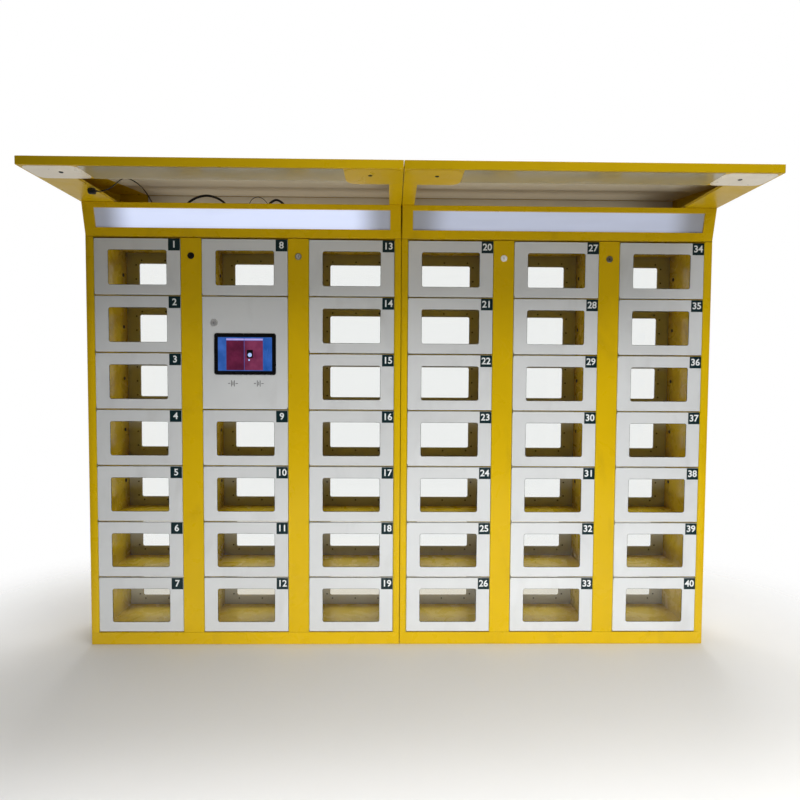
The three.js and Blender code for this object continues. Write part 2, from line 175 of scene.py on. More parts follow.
class Shape:
    def __init__(self):
        self.points = []
        self.faces = []
        self.marks = []

    def face(self, corners, mark):
        self.faces.append(corners)
        self.marks.append(mark)

    def loft(self, loops, ring=False, mark=0):
        """Joins loops of equal length. A ring closes on itself; otherwise both ends are filled."""
        start, size = len(self.points), len(loops[0])
        for loop in loops:
            self.points += loop
        pairs = len(loops) if ring else len(loops) - 1
        for k in range(pairs):
            a, b = start + k * size, start + (k + 1) % len(loops) * size
            for i in range(size):
                j = (i + 1) % size
                self.face((a + i, a + j, b + j, b + i), mark)
        if not ring:
            self.face(tuple(range(start, start + size)), mark)
            last = start + (len(loops) - 1) * size
            self.face(tuple(range(last, last + size)), mark)
        return self

    def folded(self, steps, depth=0):
        """A closed strip through steps of (rectangle, depth, growth, corner radius)."""
        loops = [outline("xz", rect, depth + d, radius, 4, grow) for rect, d, grow, radius in steps]
        return self.loft(loops, ring=True)

    def block(self, corner, far, edge=0.5, mark=0):
        """A bar or sheet with eased edges between two opposite corners."""
        edge = min(edge, 0.3 * min(b - a for a, b in zip(corner, far)))
        rect = (corner[0], corner[1], far[0], far[1])
        ends = ((corner[2], -edge), (corner[2] + edge, 0), (far[2] - edge, 0), (far[2], -edge))
        return self.loft([outline("xy", rect, z, edge, 2, grow) for z, grow in ends], mark=mark)

    def turned(self, centre, profile, axis="y", sides=20, mark=0):
        """A solid of revolution: profile is a list of (radius, distance along the axis)."""
        place = {"x": (1, 2, 0), "y": (0, 2, 1), "z": (0, 1, 2)}[axis]
        loops = []
        for radius, along in profile:
            loop = []
            for i in range(sides):
                turn = 2 * math.pi * i / sides
                point = list(centre)
                for k, d in zip(place, (radius * math.cos(turn), radius * math.sin(turn), along)):
                    point[k] += d
                loop.append(tuple(point))
            loops.append(loop)
        return self.loft(loops, mark=mark)

    def tray(self, size, depth, window, radius, sheet=1.0, hem=8):
        """A folded door leaf: front sheet with an opening, returned edges and a hem behind."""
        rect = (0, 0, *size)
        bend = 1.2
        steps = [(window, sheet, 0, radius), (window, 0.35, 0, radius), (window, 0, 0.35, radius)]
        steps += [(rect, 0, -bend - 0.5, 0.8), (rect, 0, -bend, 0.8)]
        steps += [(rect, 0.35, -0.35, 1.0), (rect, bend, 0, 1.2)]
        steps += [(rect, depth - 0.8, 0, 1.2), (rect, depth, -0.8, 1.0), (rect, depth, -hem, 0.6)]
        steps += [(rect, depth - sheet, -hem, 0.6), (rect, depth - sheet, -sheet, 0.6)]
        steps += [(rect, sheet + 0.6, -sheet, 0.6), (rect, sheet, -sheet - 0.6, 0.6)]
        return self.folded(steps)

    def ring(self, rect, inner, outer, near, far, radius=WINDOW_RADIUS, mark=0):
        """A flat frame around rect, from inner to outer beyond it."""
        ease = 0.25 * min(far - near, outer - inner, 1.2)
        steps = [(near + ease, inner), (near, inner + ease), (near, outer - ease), (near + ease, outer)]
        steps += [(far - ease, outer), (far, outer - ease), (far, inner + ease), (far - ease, inner)]
        loops = [outline("xz", rect, y, max(radius + grow, 1), 4, grow) for y, grow in steps]
        return self.loft(loops, ring=True, mark=mark)

    def sheet(self, rect, near, far, radius=1.0, mark=0, plane="xz"):
        """A flat plate with round corners and eased edges."""
        ease = 0.25 * min(far - near, 2)
        steps = ((near, -ease), (near + ease, 0), (far - ease, 0), (far, -ease))
        return self.loft([outline(plane, rect, d, radius, 4, grow) for d, grow in steps], mark=mark)


def mesh_of(name, shape, materials):
    mesh = bpy.data.meshes.new(name)
    mesh.from_pydata([[v * MM for v in p] for p in shape.points], [], shape.faces)
    for face, mark in zip(mesh.polygons, shape.marks):
        face.material_index = mark
    work = bmesh.new()
    work.from_mesh(mesh)
    bmesh.ops.recalc_face_normals(work, faces=work.faces)
    work.to_mesh(mesh)
    work.free()
    mesh.shade_smooth()
    mesh.set_sharp_from_angle(angle=math.radians(SHARP_ANGLE))
    for material in materials if isinstance(materials, (list, tuple)) else [materials]:
        mesh.materials.append(material)
    return mesh


def show(name, mesh, body="cabinet", at=(0, 0, 0), slot=None, replaces=()):
    """Puts a mesh in the scene as a piece that rides on a CAD body."""
    made = bpy.data.objects.new(name, mesh)
    bpy.context.scene.collection.objects.link(made)
    made.location = [v * MM for v in at]
    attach(made, body)
    if replaces:
        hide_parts(*replaces)
    return made


def piece(name, shape, materials, **facts):
    return show(name, mesh_of(name, shape, materials), **facts)


# ---- materials ----
COPY_SHIFT = (7, 11, 13)  # metres that a copy's texture may move


class Tree:
    """A node tree under construction."""

    def __init__(self, tree):
        self.tree = tree

    def fill(self, node, sources):
        """Sets or links a node's inputs. A source is a plain value or an output of another node."""
        for key, source in sources.items():
            socket = node.inputs[key]
            if isinstance(source, bpy.types.NodeSocket):
                self.tree.links.new(source, socket)
            else:
                socket.default_value = (*source, 1) if socket.type == "RGBA" else source
        return node

    def add(self, kind, sources=(), **settings):
        """A new node, with sources by name in a dict, or in the order of its inputs."""
        node = self.tree.nodes.new(f"ShaderNode{kind}")
        for key, value in settings.items():
            setattr(node, key, value)
        return self.fill(node, sources if isinstance(sources, dict) else dict(enumerate(sources)))

    def span(self, value, *limits, interpolation="LINEAR"):
        """The value, taken from one range to another and held at its ends."""
        names = ("Value", "From Min", "From Max", "To Min", "To Max")
        sources = dict(zip(names, (value, *limits)))
        return self.add("MapRange", sources, interpolation_type=interpolation).outputs[0]


class Nodes(Tree):
    """A material under construction, with short calls for the nodes that the finishes share."""

    def __init__(self, name, colour, roughness, metallic=0.0):
        self.material = bpy.data.materials.new(name)
        self.material.use_nodes = True
        super().__init__(self.material.node_tree)
        self.shader = self.tree.nodes["Principled BSDF"]
        self.finish(Base_Color=colour, Roughness=roughness, Metallic=metallic)
        # object coordinates shifted by a random amount, so that copies of a mesh don't match
        place = self.add("TexCoord").outputs["Object"]
        spread = self.add("CombineXYZ", [self.add("ObjectInfo").outputs["Random"]] * 3).outputs[0]
        shift = self.add("VectorMath", (spread, COPY_SHIFT, place), operation="MULTIPLY_ADD")
        self.at = shift.outputs[0]

    def noise(self, scale, detail=3.0, distortion=0.0, stretch=(1, 1, 1)):
        mapping = self.add("Mapping", {"Scale": stretch, "Vector": self.at})
        looks = {"Scale": scale, "Detail": detail, "Distortion": distortion}
        return self.add("TexNoise", {"Vector": mapping.outputs[0], **looks}).outputs["Fac"]

    def mix(self, share, first, second):
        """Colour first where share is 0 and second where it is 1. Each is a colour or an output."""
        node = self.add("Mix", {"Factor": share}, data_type="RGBA")
        coloured = [k for k, socket in enumerate(node.inputs) if socket.type == "RGBA"]
        self.fill(node, dict(zip(coloured, (first, second))))
        return next(s for s in node.outputs if s.type == "RGBA")

    def bump(self, height, distance, strength=1.0, **under):
        sources = {"Height": height, "Distance": distance, "Strength": strength, **under}
        return self.add("Bump", sources).outputs[0]

    def finish(self, **sources):
        """Fills inputs of the shader, with _ for a space in a name, and returns the material."""
        self.fill(self.shader, {key.replace("_", " "): value for key, value in sources.items()})
        return self.material


def scaled(colour, factor):
    return tuple(min(c * factor, 1) for c in colour)


def edge_share(nodes, radius):
    """1 on edges and 0 on flats, from how far a rounded normal leans from the true one."""
    rounded = nodes.add("Bevel", {"Radius": radius}, samples=3).outputs[0]
    true = nodes.add("NewGeometry").outputs["Normal"]
    dot = nodes.add("VectorMath", (rounded, true), operation="DOT_PRODUCT")
    return nodes.span(dot.outputs["Value"], 0.995, 0.9, 0.0, 1.0)


def paint(name, colour, roughness, deep, wave=0.0, coat=0.2, edges=0.0, worn=None):
    """Stoved paint on sheet steel: slow tone changes, orange peel, smears, and worn, darker edges."""
    nodes = Nodes(name, colour, roughness)
    slow = nodes.span(nodes.noise(2.2, 4), 0.3, 0.7, 0, 1)
    tone = nodes.mix(slow, scaled(colour, 0.93), scaled(colour, 1.05))
    grime = nodes.span(nodes.noise(9, 6, 0.6, (1, 1, 0.4)), 0.56, 0.82, 0, 0.35)
    tone = nodes.mix(grime, tone, deep)
    if edges:
        patchy = nodes.span(nodes.noise(60, 4), 0.4, 0.62, 0, edges)
        share = nodes.add("Math", (patchy, edge_share(nodes, 1.2 * MM)), operation="MULTIPLY")
        tone = nodes.mix(share.outputs[0], tone, worn)
    rough = nodes.span(nodes.noise(14, 6, 0.8), 0.3, 0.75, roughness * 0.8, roughness * 1.35)
    under = {"Normal": nodes.bump(nodes.noise(5.5, 1, 0.5, (1, 1, 2)), wave)} if wave else {}
    normal = nodes.bump(nodes.noise(900, 2), 0.00006, 0.35, **under)
    gloss = {"Coat_Weight": coat, "Coat_Roughness": 0.12, "Specular_IOR_Level": 0.28}
    return nodes.finish(Base_Color=tone, Roughness=rough, Normal=normal, **gloss)


def metal(name, colour, roughness, streak=(1, 1, 1), metallic=1.0):
    """Plated or brushed metal with fine scratches and dull patches."""
    nodes = Nodes(name, colour, roughness, metallic)
    patches = nodes.span(nodes.noise(55, 5), 0.35, 0.7, 0, 1)
    return nodes.finish(
        Base_Color=nodes.mix(patches, scaled(colour, 0.8), scaled(colour, 1.1)),
        Roughness=nodes.span(nodes.noise(420, 3, 0, streak), 0.3, 0.7, roughness * 0.7, roughness * 1.5),
        Normal=nodes.bump(nodes.noise(900, 3, 0, streak), 0.00002, 0.5),
    )


def plastic(name, colour, roughness, grain=700, coat=0.0, dust=(0.2, 0.19, 0.17)):
    """Moulded plastic or rubber: fine grain, a little dust, uneven sheen."""
    nodes = Nodes(name, colour, roughness)
    return nodes.finish(
        Base_Color=nodes.mix(nodes.span(nodes.noise(30, 5), 0.55, 0.85, 0, 0.25), colour, dust),
        Roughness=nodes.span(nodes.noise(80, 4), 0.3, 0.7, roughness * 0.8, roughness * 1.2),
        Normal=nodes.bump(nodes.noise(grain, 2), 0.00005, 0.4),
        Coat_Weight=coat,
        Coat_Roughness=0.06,
    )


ACRYLIC_INDEX = 1.45


def clear_sheet(name, tint):
    """Clear acrylic: light goes straight through, less a faint tint, with mirror gloss on top."""
    material = bpy.data.materials.new(name)
    material.use_nodes = True
    tree = Tree(material.node_tree)
    own = material.node_tree.nodes
    own.remove(own["Principled BSDF"])
    through = tree.add("BsdfTransparent", {"Color": tint})
    place = tree.add("TexCoord").outputs["Object"]
    smears = tree.add("TexNoise", {"Vector": place, "Scale": 18, "Detail": 5})
    rough = tree.span(smears.outputs["Fac"], 0, 1, 0.02, 0.14)
    look = {"Base Color": (0.9, 0.92, 0.92), "Metallic": 1.0, "Roughness": rough}
    gloss = tree.add("BsdfPrincipled", look)
    back = tree.add("NewGeometry").outputs["Backfacing"]
    index = tree.span(back, 0, 1, ACRYLIC_INDEX, 1 / ACRYLIC_INDEX)
    fresnel = tree.add("Fresnel", {"IOR": index})
    mix = tree.add("MixShader", [node.outputs[0] for node in (fresnel, through, gloss)])
    tree.fill(own["Material Output"], {"Surface": mix.outputs[0]})
    return material


def lit_sheet(name, colour, strength, half_width, fade):
    """Opal sheet lit from behind by a bar that stops short of its ends."""
    nodes = Nodes(name, (0.3, 0.31, 0.33), 0.35)
    split = nodes.add("SeparateXYZ", [nodes.add("TexCoord").outputs["Object"]])
    away = nodes.add("Math", [split.outputs["X"]], operation="ABSOLUTE").outputs[0]
    ends = (half_width - fade, half_width - 0.15 * fade)
    share = nodes.span(away, *ends, 1, 0.22, interpolation="SMOOTHSTEP")
    bands = nodes.span(nodes.noise(3, 2, 0, (1, 1, 6)), 0.3, 0.7, 0.93, 1.04)
    level = nodes.add("Math", (share, bands), operation="MULTIPLY").outputs[0]
    return nodes.finish(
        Base_Color=nodes.mix(bands, (0.26, 0.27, 0.29), (0.33, 0.34, 0.36)),
        Roughness=nodes.span(nodes.noise(40, 4), 0.3, 0.7, 0.28, 0.45),
        Emission_Color=nodes.mix(level, (0.0, 0.0, 0.0), colour),
        Emission_Strength=strength,
    )


def screen_page(name, colour, second, strength):
    """A lit area of the display, with a soft change of tone across it."""
    nodes = Nodes(name, (0.01, 0.01, 0.012), 0.2)
    return nodes.finish(
        Roughness=nodes.span(nodes.noise(60, 3), 0.3, 0.7, 0.1, 0.2),
        Emission_Color=nodes.mix(nodes.span(nodes.noise(26, 2), 0.35, 0.65, 0, 1), colour, second),
        Emission_Strength=strength,
    )


YELLOW_COLOUR = (0.67, 0.435, 0.002)
CHIPPED_YELLOW = (0.2, 0.13, 0.03)
CHIPPED_GREY = (0.3, 0.29, 0.27)
YELLOW = paint("yellow_paint", YELLOW_COLOUR, 0.3, (0.3, 0.17, 0.01), edges=0.5, worn=CHIPPED_YELLOW)
YELLOW_PANEL = paint(
    "yellow_panel", YELLOW_COLOUR, 0.32, (0.53, 0.33, 0.006), 0.0004, 0.15, 0.4, CHIPPED_YELLOW
)
# A lighter copy of the yellow paint for the compartment insides: painted light, standing for the light
# that falls into the cells
YELLOW_INSIDE_PAINTED_LIGHT = paint("yellow_inside_painted_light", (0.78, 0.58, 0.012), 0.26, (0.62, 0.45, 0.012), 0.0003, 0.3)
WHITE = paint("white_paint", (0.66, 0.675, 0.68), 0.38, (0.42, 0.42, 0.41), 0, 0.15, 0.45, CHIPPED_GREY)
GREY = paint("grey_frame", (0.5, 0.5, 0.47), 0.4, (0.36, 0.35, 0.3), 0, 0.1, 0.4, CHIPPED_GREY)
LINING = paint("cream_lining", (0.8, 0.73, 0.57), 0.35, (0.5, 0.44, 0.3), 0.0008)
# The soffit is yellow paint; this tan mixes in the pale surroundings that its gloss reflects, a painted
# reflection, while the full clear coat adds real gloss on top
SOFFIT_PAINTED_REFLECTION = paint("soffit_tan_painted_reflection", (0.38, 0.33, 0.2), 0.18, (0.3, 0.24, 0.08), 0.003, 1.0)
# Near white for the outer corner plates under the canopy: a painted reflection of the bright sky on the
# glossy yellow underside
PALE_PAINTED_REFLECTION = paint("pale_painted_reflection", (0.93, 0.85, 0.7), 0.3, (0.6, 0.54, 0.42), 0.001, 0.3)
# Only partly metal, so that its pale base shows as diffuse brightness on the lock heads: a painted sheen
# standing in for the chrome's reflection
STEEL = metal("lock_steel", (0.86, 0.86, 0.87), 0.3, (1, 8, 1), 0.6)
# Plain white with no metal in it: a painted highlight for a chrome lock head that shows a bright
# reflection
LOCK_PAINTED_GLARE = metal("lock_painted_glare_white", (0.96, 0.96, 0.96), 0.3, (1, 8, 1), 0.0)
DARK_STEEL = metal("black_oxide_steel", (0.06, 0.06, 0.065), 0.38)
ZINC = metal("zinc_plate", (0.5, 0.49, 0.45), 0.34)
RUBBER = plastic("black_rubber", (0.012, 0.012, 0.012), 0.62)
BLACK = plastic("black_plastic", (0.008, 0.008, 0.009), 0.34)
SCREEN_BLACK = plastic("screen_black", (0.0015, 0.0015, 0.002), 0.3, 900, 0.25, (0.006, 0.006, 0.007))
CABLE = plastic("cable_black", (0.004, 0.004, 0.004), 0.5, 700, 0.0, (0.012, 0.012, 0.012))
LABEL = plastic("label_teal", (0.002, 0.018, 0.022), 0.45, 900, 0.0, (0.008, 0.03, 0.034))
INK = plastic("label_ink", (0.82, 0.84, 0.84), 0.5, 900)
CLEAR = clear_sheet("clear_acrylic", (0.99, 0.995, 0.992))

# ---- wiring of the lamps: the same routes as in the CAD source ----
LAMP_CABLE_ROUTE = [
    (-905, 92, 1722), (-880, 91, 1731), (-858, 90, 1752), (-838, 90, 1774), (-806, 90, 1791),
    (-771, 90, 1797), (-736, 90, 1790), (-708, 90, 1774), (-688, 90, 1752), (-664, 91, 1733),
    (-632, 92, 1727), (-590, 92, 1728), (-556, 91, 1738), (-533, 90, 1758), (-516, 90, 1775),
    (-497, 90, 1783), (-478, 90, 1775), (-461, 90, 1758), (-440, 91, 1738), (-410, 92, 1722),
]
SENSOR_LEAD_ROUTE = [
    (-1098, -137, 1741), (-1080, -136, 1741), (-1062, -130, 1748), (-1048, -114, 1764),
    (-1038, -92, 1788), (-1030, -68, 1808), (-1020, -40, 1817), (-1010, -8, 1816),
    (-1001, 24, 1808), (-994, 54, 1794), (-988, 78, 1774), (-980, 92, 1750),
    (-966, 96, 1730), (-940, 94, 1722), (-906, 92, 1722),
]
LAMP_WIRE_ROUTE = [
    (-640, 78, 1722), (-622, 78, 1734), (-606, 78, 1752), (-598, 78, 1770), (-588, 78, 1783),
    (-572, 78, 1790), (-556, 78, 1788), (-543, 78, 1780), (-532, 79, 1768), (-520, 80, 1756),
    (-504, 80, 1744), (-486, 80, 1734), (-462, 80, 1726), (-436, 80, 1722), (-416, 80, 1721),
]
LAMP_CABLE_RADIUS = 4.5
SENSOR_LEAD_RADIUS = 2.0
LAMP_WIRE_RADIUS = 1.2
CURVE_STEPS = 6


def smooth_route(points):
    """The route in metres, with Catmull-Rom points between the chosen ones."""
    ends = [Vector(p) * MM for p in (points[0], *points, points[-1])]
    made = []
    for a, b, c, d in zip(ends, ends[1:], ends[2:], ends[3:]):
        for k in range(CURVE_STEPS):
            t = k / CURVE_STEPS
            pull = (2 * a - 5 * b + 4 * c - d) * t * t + (3 * b - 3 * c + d - a) * t**3
            made.append(b + 0.5 * ((c - a) * t + pull))
    return [*made, ends[-1]]


def wire(name, route, radius, with_pieces=(), replaces=()):
    """A limp cord along a route. with_pieces, the pieces that its ends are fixed to, is not used."""
    points = smooth_route(route)
    curve = bpy.data.curves.new(name, "CURVE")
    curve.dimensions = "3D"
    spline = curve.splines.new("POLY")
    spline.points.add(len(points) - 1)
    for made, point in zip(spline.points, points):
        made.co = (*point, 1)
    curve.bevel_depth = radius * MM
    curve.bevel_resolution = 3
    curve.use_fill_caps = True
    curve.materials.append(CABLE)
    cable = show(name, curve, slot="cable_black", replaces=replaces)


def junction(name, centre):
    """A small terminal box on the light box, with its lid and two glands."""
    x, y, z = centre
    box = Shape().block((x - 20, y - 11, z - 9), (x + 20, y + 11, z + 5), 1.5)
    box.block((x - 20.6, y - 11.6, z + 5.2), (x + 20.6, y + 11.6, z + 9), 1.2)
    ridges = [(5.2, 19), (6.4, 19.6), (6.4, 22), (5.4, 22.6), (6.2, 23.4), (5, 26)]
    for side in (-1, 1):
        box.turned((x, y, z), flipped(ridges, side), "x", 16)
    return piece(name, box, BLACK, slot="cable_black")


def sensor():
    """The small round sensor that hangs at the inner edge of the canopy."""
    x, y, z = SENSOR_LEAD_ROUTE[0]
    puck = [(6, -22), (10.4, -21.4), (11, -20), (11, -16), (10.2, -15.2), (10.2, -13.6), (11, -12.8)]
    puck += [(11, -2), (10, -0.4), (4.4, 0), (3.6, 1.4), (3.2, 9)]
    return piece("lamp_sensor", Shape().turned((x, y, z), puck, "x", 24), BLACK, slot="cable_black")


junctions = [
    junction("junction_left", LAMP_CABLE_ROUTE[0]),
    junction("junction_right", LAMP_CABLE_ROUTE[-1]),
]
wire("lamp_cable", LAMP_CABLE_ROUTE, LAMP_CABLE_RADIUS, junctions, ["wiring_harness"])
wire("sensor_lead", SENSOR_LEAD_ROUTE, SENSOR_LEAD_RADIUS, [sensor()])
wire("lamp_wire", LAMP_WIRE_ROUTE, LAMP_WIRE_RADIUS)


# ---- cabinet shells ----
def shell(side):
    x0, x1 = MODULES[side]
    cells = cells_of(side)
    left, right = cells[0] - SHEET - GAP, cells[-1] + CELL_WIDTH + SHEET + GAP
    base = PLINTH - SHELF / 2 - GAP
    back = REAR_Y - SHEET
    walls = Shape()
    for a, b in ((x0, x0 + SHEET), (x1 - SHEET, x1)):
        walls.block((a, DOOR_Y, 0), (b, REAR_Y, SHELL_TOP), 0.6)
    piece(f"shell_walls_{side}", walls, YELLOW_PANEL, slot="yellow_paint", replaces=[f"cabinet_{side}"])
    face = Shape()
    for a, b in ((x0 + 0.4, left), (right, x1 - 0.4)):
        face.block((a, DOOR_Y, base - 0.4), (b, DOOR_Y + SHEET, RACK_TOP - 0.4), 0.6)
        face.block((a, back, base), (b, REAR_Y, DECK_Z), 0.6)
    piece(f"shell_faces_{side}", face, YELLOW, slot="yellow_paint")
    plinth = Shape().block((x0 + 0.4, DOOR_Y, 0), (x1 - 0.4, DOOR_Y + SHEET, base), 0.6)
    plinth.block((x0 + 0.4, back, 0), (x1 - 0.4, REAR_Y, base), 0.6)
    plinth.block((x0 + 1, DOOR_Y + 1, base - SHEET), (x1 - 1, DOOR_Y + 16, base))
    plinth.block((x0 + 1, DOOR_Y + 1, 0), (x1 - 1, DOOR_Y + 30, SHEET))
    plinth.block((x0 + 1, REAR_Y - 30, 0), (x1 - 1, REAR_Y - 1, SHEET))
    for a, b in ((x0 + 1, x0 + 30), (x1 - 30, x1 - 1)):
        plinth.block((a, DOOR_Y + 1, 0), (b, REAR_Y - 1, SHEET))
    piece(f"plinth_{side}", plinth, YELLOW, slot="yellow_paint")
    deck = Shape().block((x0 + 1, DOOR_Y + 0.5, DECK_Z), (x1 - 1, REAR_Y - 0.5, DECK_Z + SHEET))
    deck.block((x0 + 1, back, DECK_Z), (x1 - 1, REAR_Y, SHELL_TOP))
    piece(f"deck_{side}", deck, YELLOW, slot="yellow_paint")
    bolts = Shape()
    head = [(9, 0), (9, 1.4), (6.5, 1.6), (6.5, 6.5), (5.6, 7.5), (2, 7.6)]
    for a in (x0 + 60, (x0 + x1) / 2, x1 - 60):
        for b in (DOOR_Y + 18, REAR_Y - 18):
            bolts.turned((a, b, SHEET), head, "z", 6)
    piece(f"anchor_bolts_{side}", bolts, ZINC)


# ---- compartments ----
SHELF_SETBACK = 13  # leaves the slits between the doors dark


def rack(column):
    x = CELLS[column]
    right = x + CELL_WIDTH
    made = Shape()
    for a in (x - SHEET, right):
        made.block((a, DOOR_Y, PLINTH - SHELF / 2), (a + SHEET, RACK_REAR, RACK_TOP - 2))
    for row in range(ROWS + 1):
        if is_service(column, row) and is_service(column, row - 1):
            continue
        z = shelf_z(row)
        front = DOOR_Y + SHELF_SETBACK
        made.block((x - 0.5, front, z - SHELF / 2), (right + 0.5, RACK_REAR, z + SHELF / 2), 0.6)
    stands_for = f"compartments_{'left' if is_left(column) else 'right'}"
    # the racks take the lighter inside copy of the yellow, which is painted light
    piece(f"rack_{column + 1}", made, YELLOW_INSIDE_PAINTED_LIGHT, slot="yellow_paint", replaces=[stands_for])


def cell_rows(column):
    """Lower and upper shelf of each compartment of a column, the service bay as one."""
    for row in range(ROWS):
        service = is_service(column, row)
        if not service or row == SERVICE_ROWS[0]:
            yield shelf_z(row + 1 + service), shelf_z(row), service


def door_stops(column):
    """Angle strips that the doors close against, and the spring latches with their jaws."""
    x = CELLS[column]
    right = x + CELL_WIDTH
    back = DOOR_Y + DOOR_DEPTH
    stops, latches, sockets = Shape(), Shape(), Shape()
    cup = [(7.5, 0), (7.5, 1.2), (6.9, 2), (5, 2.2), (4.6, 1.4), (1.5, 1.2)]
    for bottom, top, service in cell_rows(column):
        for a, b in ((x, x + 7), (right - 7, right)):
            stops.block((a, back + 0.6, bottom + 12), (b, back + 1.8, top - 12), 0.4)
        if service:
            continue
        middle = (bottom + top) / 2
        for up, down in ((20, 6), (-6, -20)):
            latches.block((right - 17, back + 4, middle + down), (right - 1, back + 44, middle + up), 1)
        latches.block((right - 19, back + 22, middle - 21), (right - 1, back + 46, middle + 21), 1.2)
        for a, side in ((x, 1), (right, -1)):
            sockets.turned((a, RACK_REAR - 36, middle + 8), flipped(cup, side), "x", 20)
    # the door stops take the same lighter copy of the yellow, which is painted light
    piece(f"door_stops_{column + 1}", stops, YELLOW_INSIDE_PAINTED_LIGHT)
    piece(f"latches_{column + 1}", latches, BLACK)
    piece(f"charging_sockets_{column + 1}", sockets, BLACK)


def stile(column):
    """The cover between two columns, with the hole for its lock."""
    left = CELLS[column] + CELL_WIDTH
    right = left + STILE_WIDTH
    centre, z = (left + right) / 2, shelf_z(0) - LOCK_DROP
    rect = (left + 0.2, PLINTH - 0.8, right - 0.2, RACK_TOP - 2.4)
    hole = grown((centre, z, centre, z), 10)
    steps = [(hole, SHEET, 0, 10), (hole, 0.3, 0, 10), (hole, 0, 0.3, 10.3), (rect, 0, -0.6, 0.5)]
    steps += [(rect, 0.6, 0, 0.8), (rect, 14, 0, 0.8), (rect, 14, -1.2, 0.5), (rect, SHEET, -1.2, 0.5)]
    piece(f"stile_{column + 1}", Shape().folded(steps, DOOR_Y), YELLOW, slot="yellow_paint")
    duct = Shape()
    for a in (left + 12, right - 14):
        duct.block((a, DOOR_Y + 30, PLINTH), (a + 2, RACK_REAR - 8, RACK_TOP - 6))
    duct.block((left + 12, RACK_REAR - 8, PLINTH), (right - 12, RACK_REAR - 6.5, RACK_TOP - 6))
    piece(f"cable_duct_{column + 1}", duct, ZINC)


# ---- rear panels ----
def windows_of(side):
    for x in cells_of(side):
        column = CELLS.index(x)
        for row in range(ROWS):
            if not is_service(column, row):
                a, b = x + DOOR_GAP, shelf_z(row + 1) + DOOR_END_GAP
                yield column, row, (a + WINDOW[0], b + WINDOW[1], a + WINDOW[2], b + WINDOW[3])


FRAME_SHEET = 1.4
SCREW_LAP = 13  # from an opening to the screws around it
SCREW_SHARES = (0.05, 0.5, 0.95)  # their places along each side of it
SCREW_HEAD = ((3.6, 0), (3.6, 0.9), (2.9, 1.8), (1.4, 2.1), (1.2, 1.4), (0.4, 1.4))


def screws_around(window, screws, inner, outer):
    """Screw heads on both sides of a rear panel, around one opening."""
    wide, tall = window[2] - window[0], window[3] - window[1]
    edges = grown(window, SCREW_LAP)
    for share in SCREW_SHARES:
        spots = [(a, window[1] + share * tall) for a in (edges[0], edges[2])]
        spots += [(window[0] + share * wide, b) for b in (edges[1], edges[3])]
        for a, b in spots:
            screws.turned((a, inner, b), flipped(SCREW_HEAD, -1), "y", 10)
            screws.turned((a, outer, b), flipped(SCREW_HEAD, 1), "y", 10)


def rear_panel(side):
    x0, x1 = MODULES[side]
    y = low(f"rear_panel_{side}")[1]
    edge = SHEET + GAP
    bottom, top = PLINTH - SHELF / 2, DECK_Z - GAP
    sheets, panes, beads, screws, frames = (Shape() for _ in range(5))
    near, outer = RACK_REAR - FRAME_SHEET - 0.2, y + SHEET
    between = [x + CELL_WIDTH + STILE_WIDTH / 2 for x in cells_of(side)[:-1]]
    middles = [x0 + edge, *between, x1 - edge]
    for column, row, window in windows_of(side):
        k = column % 3
        z0 = bottom if row == ROWS - 1 else shelf_z(row + 1)
        z1 = top if row == 0 else shelf_z(row)
        rect = (middles[k], z0, middles[k + 1], z1)
        steps = [(window, SHEET, 0, WINDOW_RADIUS), (window, 0, 0, WINDOW_RADIUS)]
        sheets.folded([*steps, (rect, 0, 0, 0.05), (rect, SHEET, 0, 0.05)], y)
        x = CELLS[column]
        cell = (x + 0.8, shelf_z(row + 1) + 1.3, x + CELL_WIDTH - 0.8, shelf_z(row) - 1.3)
        steps = [(window, d, grow, WINDOW_RADIUS) for d, grow in ((FRAME_SHEET, 0), (0.3, 0), (0, 0.3))]
        frames.folded([*steps, (cell, 0, 0, 0.5), (cell, FRAME_SHEET, 0, 0.5)], near)
        panes.sheet(grown(window, PANE_LAP), outer, outer + 2, 3)
        beads.ring(window, -0.8, 3, outer + 2, outer + 3)
        screws_around(window, screws, near, outer)
    if side == "left":
        z = (shelf_z(SERVICE_ROWS[1] + 1), shelf_z(SERVICE_ROWS[0]))
        sheets.block((middles[1], y, z[0]), (middles[2], y + SHEET, z[1]), 0.01)
    piece(f"rear_sheet_{side}", sheets, YELLOW, slot="yellow_paint", replaces=[f"rear_panel_{side}"])
    piece(f"rear_frames_{side}", frames, GREY, slot="white_paint")
    piece(f"rear_panes_{side}", panes, CLEAR)
    piece(f"rear_beads_{side}", beads, RUBBER)
    piece(f"rear_screws_{side}", screws, DARK_STEEL)


# ---- light boxes ----
LIGHT_FOOT, LIGHT_BROW = DOOR_Y - 3, DOOR_Y - 31
LIGHT_BOTTOM, LIGHT_TOP = 1630, 1752.4
LIGHT_RISE = LIGHT_TOP - LIGHT_BOTTOM
LIGHT_DEPTHS = (15, 40)  # at the foot and at the top
LAMP_SIDE, LAMP_LOW, LAMP_HIGH = 42, 31.2, 103.3  # the opening, from the ends and up the face
LAMP_COLOUR = (0.66, 0.74, 1.0)
LAMP_LEVEL = {"left": 0.86, "right": 0.46}
LAMP_FADE = 0.16  # metres of dim sheet at each end


def lean(points):
    """From (x, depth behind the face, height up it) to the row frame."""
    shift = LIGHT_BROW - LIGHT_FOOT
    return [(x, LIGHT_FOOT + d + shift * h / LIGHT_RISE, LIGHT_BOTTOM + h) for x, d, h in points]


def deepen(points):
    """Puts points with depth 1 at the back of the channel, which is deeper at the top."""
    foot, top = LIGHT_DEPTHS
    return [(x, foot + (top - foot) * h / LIGHT_RISE, h) for x, _, h in points]


def on_face(steps, radius=1):
    return [lean(outline("xz", rect, d, radius, 3, grow)) for rect, d, grow in steps]


